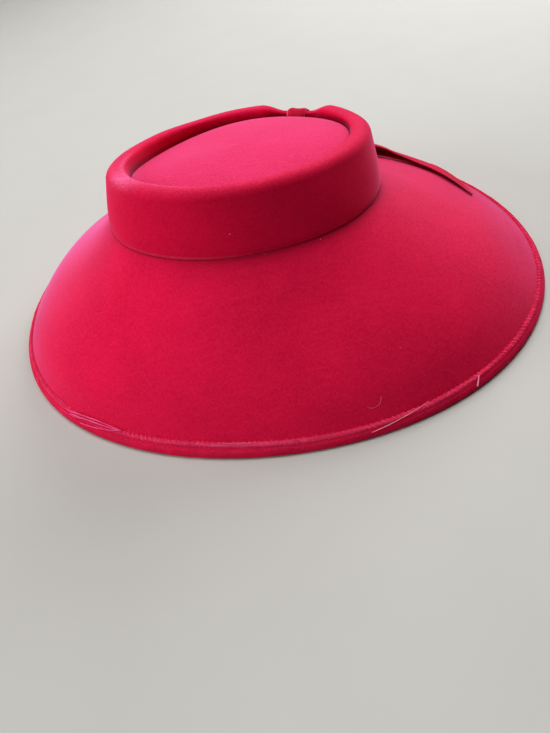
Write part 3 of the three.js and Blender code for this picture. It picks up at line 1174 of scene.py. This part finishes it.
    def build_fray(self) -> bpy.types.Object:
        """Builds the short fibres that stand out of the worn border.

        Returns:
            The piece.
        """
        rng = np.random.default_rng(self.seed + 2)
        angle = TURN * rng.random(self.fray_tries * self.fray_count)
        angle = angle[rng.random(len(angle)) < self.frayed(angle)][: self.fray_count]
        count = len(angle)
        across = rng.normal(self.fray_across, self.fray_scatter, count)
        length = self.fray_shortest + self.fray_longer * rng.random(count) ** 2
        heading = TURN * rng.random(count)
        bend = rng.normal(0.0, self.fray_bend, count)
        part = np.linspace(0.0, 1.0, self.fray_steps)[None]
        turned = heading[:, None] + bend[:, None] * part
        around = angle[:, None] + np.cos(turned) * length[:, None] * part / self.border_radius
        out = across[:, None] + self.fray_outward * np.sin(turned) * length[:, None] * part
        stand = self.fray_stand + self.fray_stand_more * rng.random(count)
        base = self.fray_base * np.sqrt(soft_step(across, *self.fray_round)) - self.fray_sunk
        lift = base[:, None] + stand[:, None] * length[:, None] * (part - self.fray_droop * part**2)
        paths = self.on_border(around, out, lift)
        stout = self.fray_radius + self.fray_radius_more * rng.random(count)
        radius = stout[:, None] * (1.0 - self.fray_taper * part)
        piece = make_piece("frayed_border", *fibre_mesh(paths, radius, self.fray_sides))
        dress(piece, FRAY_FIBRE.material())
        return piece


@dataclass(frozen=True)
class Strand:
    """A loose thread on the brim, from one place to another: angle in degrees, reach outward and lift.

    The bow is a share of the reach, the curl goes from 0 to 1, and the width is in millimetres.
    """

    start: tuple[float, float, float]
    end: tuple[float, float, float]
    bow: float
    curl: float
    width: float


PULLED_STRANDS = (
    Strand((252.4, 0.959, 1.9), (268.3, 0.934, 1.9), -0.018, 0.1, 0.65),
    Strand((253.4, 0.968, 1.9), (267.6, 0.938, 1.8), -0.008, 0.15, 0.75),
    Strand((256.9, 0.986, 1.7), (268.3, 0.936, 1.7), 0.006, 0.15, 0.6),
    Strand((250.0, 0.985, 1.9), (258.0, 0.953, 2.0), 0.004, 0.3, 0.45),
    Strand((236.5, 0.972, 1.8), (239.0, 0.957, 2.6), 0.008, 0.5, 0.3),
    Strand((237.5, 0.982, 1.8), (239.5, 0.962, 3.2), -0.008, 0.5, 0.26),
    Strand((285.0, 0.945, 1.7), (297.0, 0.938, 1.7), 0.006, 0.3, 0.4),
    Strand((288.0, 0.953, 1.7), (295.0, 0.934, 1.8), -0.006, 0.4, 0.35),
)
PALE_STRANDS = (
    Strand((317.5, 0.99, 2.6), (329.0, 0.95, 2.1), 0.002, 0.0, 0.26),
    Strand((317.0, 0.83, 0.25), (321.8, 0.845, 0.25), -0.03, 0.3, 0.08),
    Strand((321.8, 0.845, 0.25), (318.6, 0.875, 0.25), 0.025, 0.3, 0.08),
    Strand((338.7, 1.005, 2.0), (340.0, 0.962, 2.4), 0.003, 0.1, 0.8),
)


@dataclass
class LooseThreads:
    """The few threads that have pulled out of the binding and lie on it or on the brim."""

    form: HatForm
    name: str
    strands: tuple[Strand, ...]
    finish: SewingThread
    steps: int = 36
    sides: int = 6
    curl_deg: float = 0.5
    curl_reach: float = 0.004
    curl_lift: float = 0.4
    curl_waves: tuple[float, float, float] = (7.0, 9.0, 8.0)
    end_taper: float = 0.5
    seed: int = 7

    def build(self) -> bpy.types.Object:
        """Builds the threads as one piece.

        Returns:
            The piece.
        """
        rng = np.random.default_rng(self.seed)
        part = np.linspace(0.0, 1.0, self.steps)
        around, outward, upward = (waves_along * part for waves_along in self.curl_waves)
        paths, radii = [], []
        for strand in self.strands:
            start, end = np.array(strand.start), np.array(strand.end)
            line = start + (end - start) * part[:, None]
            phase = TURN * rng.random(3)
            line[:, 1] += strand.bow * np.sin(math.pi * part)
            line[:, 1] += self.curl_reach * strand.curl * np.sin(outward + phase[0])
            line[:, 0] += self.curl_deg * strand.curl * np.sin(around + phase[1])
            line[:, 2] += self.curl_lift * strand.curl * np.sin(upward + phase[2]) ** 2
            section = self.form.brim_section(np.radians(line[:, 0]))
            lift = self.form.brim_felt / 2.0 + line[:, 2]
            paths.append(section.face(line[:, 1:2], lift[:, None])[:, 0])
            radii.append(strand.width / 2.0 * (1.0 - self.end_taper * part**4))
        piece = make_piece(self.name, *fibre_mesh(np.array(paths), np.array(radii), self.sides))
        dress(piece, self.finish.material())
        return piece


@dataclass(frozen=True)
class TailStation:
    """One station of a tail: angle in degrees, reach outward and lift of its near and far edge."""

    near: tuple[float, float, float]
    far: tuple[float, float, float]


@dataclass
class BackTie:
    """The felt strap tied round the rim at the back, with a tail lying on the brim at each side."""

    form: HatForm
    felt: float = 1.2
    camber: float = 0.6
    seat: float = 0.25
    nearest: float = 0.012
    fold: float = 0.88
    tail_steps: int = 91
    tail_columns: int = 17
    inset: float = 0.24
    gathered_until: float = 0.03
    opens: float = 0.14
    gathered_in: float = 0.07
    end_from: float = 0.8
    end_thinning: float = 0.6
    edge_round: float = 0.06
    edge_least: float = 0.1
    worn_edge: float = 0.12
    worn_edge_wear: float = 0.12
    worn_end: float = 0.93
    worn_end_wear: float = 0.15
    inner_wear_share: float = 0.3
    stations: tuple[TailStation, ...] = (
        TailStation((86.0, -0.05, 8.5), (86.0, -0.02, 7.0)),
        TailStation((79.0, 0.16, 9.8), (80.5, 0.34, 8.4)),
        TailStation((73.0, 0.46, 7.0), (79.0, 0.6, 6.4)),
        TailStation((67.0, 0.52, 4.3), (73.5, 0.64, 3.6)),
        TailStation((60.0, 0.55, 2.6), (67.0, 0.69, 2.8)),
        TailStation((53.0, 0.58, 2.2), (62.5, 0.725, 2.4)),
        TailStation((46.0, 0.59, 2.2), (57.6, 0.735, 2.5)),
        TailStation((36.8, 0.655, 0.85), (37.6, 0.665, 0.85)),
    )
    knot_half_turn: float = 6.2
    knot_columns: int = 57
    wall_steps: int = 29
    roll_steps: int = 22
    leg_steps: int = 4
    knot_crispness: float = 2.6
    knot_foot: float = 0.1
    knot_inner_end: float = 1.0
    knot_edge_felt: float = 1.2
    knot_edge_power: float = 5.0
    knot_edge_least: float = 0.02
    knot_fold_felt: float = 0.4
    knot_fold_turn: float = 3.5
    knot_fold_width: float = 1.5
    knot_ruffle: float = 0.1
    knot_height: float = 0.27
    knot_tall: float = 0.15
    knot_spread: float = 0.6
    knot_swell: float = 4.5
    knot_flatness: float = 0.96
    knot_pleats: float = 11.0
    knot_pleat_depth: float = 0.08
    cut_right: tuple[float, float, float] = (0.82, 0.94, 0.9)
    cut_left: tuple[float, float, float] = (0.88, 0.97, 0.3)
    bared_above: float = 0.8
    bared_below: float = 0.06

    def build_knot(self) -> bpy.types.Object:
        """Builds the strap over the pinched roll, knotted at its foot, with two soft folds and pale cut edges.

        Returns:
            The piece.
        """
        form = self.form
        turn = np.linspace(-1.0, 1.0, self.knot_columns)
        wall = np.linspace(self.knot_foot, 1.0, self.wall_steps + 1)[:-1]
        leg = self.knot_inner_end * np.linspace(0.0, 1.0, self.leg_steps + 1)[1:]
        above_wall = self.roll_steps + 1 + self.leg_steps
        tied = np.concatenate([hump(wall, self.knot_height, self.knot_tall), np.zeros(above_wall)])
        lines, normals = [], []
        for step, spread in enumerate(1.0 + self.knot_spread * tied):
            angle = np.radians(form.knot_angle + self.knot_half_turn * spread * turn)
            line, facing = form.band_path(angle, wall, self.roll_steps, leg, self.knot_crispness)
            lines.append(line[:, step])
            normals.append(facing[:, step])
        path, normal = np.stack(lines, axis=1), np.stack(normals, axis=1)
        degrees = self.knot_half_turn * turn
        folds = sum(hump(degrees, side * self.knot_fold_turn, self.knot_fold_width) for side in (-1.0, 1.0))
        rounded = np.sqrt(np.clip(1.0 - np.abs(turn) ** self.knot_edge_power, self.knot_edge_least, 1.0))
        felt = ((self.knot_edge_felt + self.knot_fold_felt * folds) * rounded)[:, None]
        steps = np.arange(path.shape[1])[None]
        felt = felt * (1.0 + self.knot_ruffle * np.sin(0.5 * steps + 2.0 * turn[:, None]))
        pleats = 1.0 + self.knot_pleat_depth * np.cos(self.knot_pleats * turn)
        swell = self.knot_swell * np.sqrt(1.0 - self.knot_flatness * turn**2) * pleats
        felt = felt + swell[:, None] * tied[None]
        outer = path + normal * (form.gap + felt)[..., None]
        inner = (path + normal * form.gap)[:, ::-1]
        rows = np.concatenate([outer, inner], axis=1)
        cut = sum(
            wear_and_painted_highlight * soft_step(side * turn, low, high)
            for side, (low, high, wear_and_painted_highlight) in ((1.0, self.cut_right), (-1.0, self.cut_left))
        )
        bared = self.bared_below + (1.0 - self.bared_below) * soft_step(wall, self.bared_above, 1.0)
        bared = np.concatenate([bared, np.ones(above_wall)])
        wear_and_painted_highlight = np.concatenate([cut[:, None] * bared[None], np.zeros(inner.shape[:2])], axis=1)
        piece = make_piece("tied_strap", rows, loft_faces(*rows.shape[:2], False), wear_and_painted_highlight)
        dress(piece, TIE_FELT.material(), "back_knot")
        return piece

    def tail_edge(self, edges: np.ndarray) -> np.ndarray:
        """A smooth line through one edge's stations.

        Args:
            edges: Angle, reach and lift of the edge at each station.

        Returns:
            The same three at every step of the tail.
        """
        padded = np.concatenate([2 * edges[:1] - edges[1:2], edges, 2 * edges[-1:] - edges[-2:-1]])
        spot = np.linspace(0.0, len(edges) - 1.0, self.tail_steps)
        first = np.minimum(spot.astype(int), len(edges) - 2)
        part = (spot - first)[:, None]
        a, b, c, d = (padded[first + i] for i in range(4))
        bend = (2 * a - 5 * b + 4 * c - d) * part**2 + (3 * b - a - 3 * c + d) * part**3
        return 0.5 * (2 * b + (c - a) * part + bend)

    def build_tail(self, side: Side) -> bpy.types.Object:
        """Builds a tail: a strip folded double along its far side, gathered into the knot, with a slanting cut.

        Args:
            side: The side of the hat that it lies on.

        Returns:
            The piece.
        """
        near = self.tail_edge(np.array([s.near for s in self.stations]))
        far = self.tail_edge(np.array([s.far for s in self.stations]))
        part = np.linspace(0.0, 1.0, self.tail_columns)
        along = np.linspace(0.0, 1.0, self.tail_steps)
        gathered = soft_step(along, self.opens, self.gathered_until)[:, None]

        def layer(end: float, upper: bool, extra: np.ndarray | float) -> np.ndarray:
            """One face of one layer, from the near edge to a part of the width."""
            first = 0.0 if upper else self.inset
            across = (first + part * (end - first))[None, :, None]
            spots = near[:, None] + (far - near)[:, None] * across
            arch = 4.0 * self.camber * (across * (1.0 - across))[..., 0]
            held = spots[..., 2] + arch
            laid = self.seat + (held - 2.0 * self.felt - self.seat) * gathered
            spots[..., 2] = (held if upper else laid) + extra
            if not upper:
                spots[..., 1] = np.maximum(spots[..., 1], self.nearest - self.gathered_in * gathered)
            if side is Side.LEFT:
                spots[..., 0] = 180.0 - spots[..., 0]
            section = self.form.brim_section(np.radians(spots[..., 0]).ravel())
            lift = self.form.brim_felt / 2.0 + spots[..., 2].reshape(-1, 1)
            points = section.face(spots[..., 1].reshape(-1, 1), lift)
            return points.reshape(self.tail_steps, self.tail_columns, 3)

        rounded = 1.0 - (1.0 - np.minimum(1.0, part / self.edge_round)) ** 2
        rounded = np.sqrt(np.clip(rounded, self.edge_least, 1.0))[None]
        felt = self.felt * (1.0 - self.end_thinning * soft_step(along, self.end_from, 1.0))[:, None]
        thick = 0.5 * felt * (1.0 + rounded)
        thin = 0.5 * felt * (1.0 - rounded)
        top, bottom = layer(1.0, True, thick), layer(1.0, False, thin)
        sheet = np.concatenate([top, bottom[:, ::-1]], axis=1)
        inside = [layer(self.fold, False, thick), layer(self.fold, True, thin)[:, ::-1]]
        rows = np.concatenate([sheet, *inside], axis=1)
        edge = self.worn_edge_wear * soft_step(part, self.worn_edge, 0.0)[None]
        worn = edge + self.worn_end_wear * soft_step(along, self.worn_end, 1.0)[:, None]
        inner_worn = self.inner_wear_share * worn[:, ::-1]
        wear_and_painted_highlight = np.concatenate([worn, inner_worn, np.zeros_like(worn), inner_worn], axis=1)
        name = f"tie_tail_{side.value}"
        piece = make_piece(name, rows, loft_faces(*rows.shape[:2], False), wear_and_painted_highlight)
        dress(piece, TIE_FELT.material(), f"bow_tail_{side.value}")
        width = float(np.linalg.norm(np.diff(sheet, axis=1), axis=-1).sum(axis=1).max()) * MM
        middle = top[:, self.tail_columns // 2]
        length = float(np.linalg.norm(np.diff(middle, axis=0), axis=-1).sum()) * MM
        sides = np.cross(sheet[1:, 1:] - sheet[:-1, :-1], sheet[1:, :-1] - sheet[:-1, 1:])
        area = float(0.5 * np.linalg.norm(sides, axis=-1).sum()) * MM * MM
        share = area / (width * length)
        LOG.info("%s: cut from %.0f by %.0f mm of felt, %.2f of it", name, width / MM, length / MM, share)
        return piece


# The studio


@dataclass(frozen=True)
class PaintedFloor:
    """Matt white emulsion on board: even and pale, with a trace of roller mottling."""

    name: str = "matt_painted_floor"
    colour: str = "#BCBBB5"
    mottled: str = "#B7B6B0"
    mottle_mm: float = 60.0
    roughness: float = 0.85
    specular: float = 0.2

    def material(self) -> bpy.types.Material:
        """Builds the paint.

        Returns:
            The material.
        """
        made = bare_material(self.name)
        tree = made.node_tree
        place = add_node(tree, "ShaderNodeTexCoord").outputs["Object"]
        patches = {"Vector": place, "Scale": per_metre(self.mottle_mm), "Detail": 4.0}
        mottle = add_node(tree, "ShaderNodeTexNoise", patches).outputs[0]
        mixed = {0: mottle, 6: srgb(self.colour), 7: srgb(self.mottled)}
        colour = add_node(tree, "ShaderNodeMix", mixed, data_type="RGBA").outputs[2]
        emulsion = {"Base Color": colour, "Roughness": self.roughness, "Specular IOR Level": self.specular}
        paint = add_node(tree, "ShaderNodeBsdfPrincipled", emulsion)
        add_node(tree, "ShaderNodeOutputMaterial", {"Surface": paint.outputs[0]})
        return made


@dataclass(frozen=True)
class SoftLight:
    """A large round soft light: where it stands, how wide it is, its power in watts and its colour."""

    name: str
    stands: tuple[float, float, float]
    width: float
    power: float
    colour: str


@dataclass
class Studio:
    """A pale floor, soft lights and the camera, whose place is in millimetres from the crown's axis."""

    floor_half: float = 9.0
    aim: tuple[float, float, float] = (0.0, 0.0, 0.05)
    lights: tuple[SoftLight, ...] = (
        SoftLight("overhead_softbox", (0.0, 0.1, 1.8), 1.4, 20.5, "#FFFFFF"),
        SoftLight("back_window", (0.0, 1.7, 1.0), 1.4, 35.0, "#FFFFFF"),
        SoftLight("front_left_softbox", (-1.2, -1.4, 0.55), 1.4, 27.5, "#FFFFFF"),
        SoftLight("left_high_softbox", (-1.1, 0.0, 1.5), 1.4, 7.0, "#F4F2FF"),
    )
    ambient: str = "#FFFFFF"
    ambient_strength: float = 0.02
    crown_axis: tuple[float, float, float] = (-6.0, -12.8, 0.0)
    azimuth: float = 35.41
    elevation: float = 41.42
    roll: float = 12.64
    distance: float = 484.85
    slide_right: float = 8.01
    slide_down: float = 64.40
    focal_px: float = 649.77
    frame_height_px: float = 733.0
    sensor_mm: float = 36.0

    def build_floor(self) -> None:
        """Lays the floor."""
        half = self.floor_half
        mesh = bpy.data.meshes.new("floor")
        corners = [(-half, -half, 0), (half, -half, 0), (half, half, 0), (-half, half, 0)]
        mesh.from_pydata(corners, [], [(0, 1, 2, 3)])
        floor = bpy.data.objects.new("floor", mesh)
        mesh.materials.append(PaintedFloor().material())
        bpy.context.scene.collection.objects.link(floor)

    def build_lights(self) -> None:
        """Hangs the soft lights and sets the room's even light."""
        for light in self.lights:
            data = bpy.data.lights.new(light.name, "AREA")
            data.shape, data.size, data.energy = "DISK", light.width, light.power
            data.color = srgb(light.colour)[:3]
            lamp = bpy.data.objects.new(light.name, data)
            lamp.location = light.stands
            lamp.rotation_mode = "QUATERNION"
            lamp.rotation_quaternion = (Vector(self.aim) - Vector(light.stands)).to_track_quat("-Z", "Y")
            bpy.context.scene.collection.objects.link(lamp)
        world = bpy.data.worlds.new("even_room_light")
        world.use_nodes = True
        world.node_tree.nodes.clear()
        sky = add_node(
            world.node_tree,
            "ShaderNodeBackground",
            {"Color": srgb(self.ambient), "Strength": self.ambient_strength},
        )
        add_node(world.node_tree, "ShaderNodeOutputWorld", {"Surface": sky.outputs[0]})
        bpy.context.scene.world = world

    def build_camera(self) -> None:
        """Sets the camera at the photograph's angle, with the frame's tilt and off-centre aim."""
        a, e, r = (math.radians(v) for v in (self.azimuth, self.elevation, self.roll))
        back = Vector((math.sin(a) * math.cos(e), -math.cos(a) * math.cos(e), math.sin(e)))
        level = (-back).cross(Vector((0.0, 0.0, 1.0))).normalized()
        down = (-back).cross(level)
        right = level * math.cos(r) + down * math.sin(r)
        below = down * math.cos(r) - level * math.sin(r)
        place = Vector(self.crown_axis) + back * self.distance
        place += right * self.slide_right + below * self.slide_down
        data = bpy.data.cameras.new("studio_camera")
        data.sensor_fit = "VERTICAL"
        data.sensor_height = self.sensor_mm
        data.lens = self.focal_px * self.sensor_mm / self.frame_height_px
        data.clip_start, data.clip_end = 0.01, 60.0
        camera = bpy.data.objects.new("studio_camera", data)
        turn = Matrix((right, -below, back)).transposed().to_4x4()
        camera.matrix_world = Matrix.Translation(place * MM) @ turn
        bpy.context.scene.collection.objects.link(camera)
        bpy.context.scene.camera = camera

    def build(self) -> None:
        """Builds the whole studio."""
        self.build_floor()
        self.build_lights()
        self.build_camera()
        bpy.context.scene.view_settings.view_transform = "Standard"


def main() -> None:
    """Builds the hat's pieces in order."""
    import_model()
    Studio().build()
    form = HatForm()
    crown = Crown(form)
    crown.build_tip()
    crown.build_sideband()
    brim = Brim(form)
    brim.build_felt()
    brim.build_binding()
    brim.build_stitches()
    brim.build_fray()
    LooseThreads(form, "pulled_threads", PULLED_STRANDS, PULLED_THREAD).build()
    LooseThreads(form, "loose_threads", PALE_STRANDS, LOOSE_THREAD).build()
    tie = BackTie(form)
    tie.build_knot()
    for side in Side:
        tie.build_tail(side)
    bpy.context.view_layer.update()


if __name__ == "__main__":
    logging.basicConfig(level=logging.INFO, format="%(message)s")
    main()
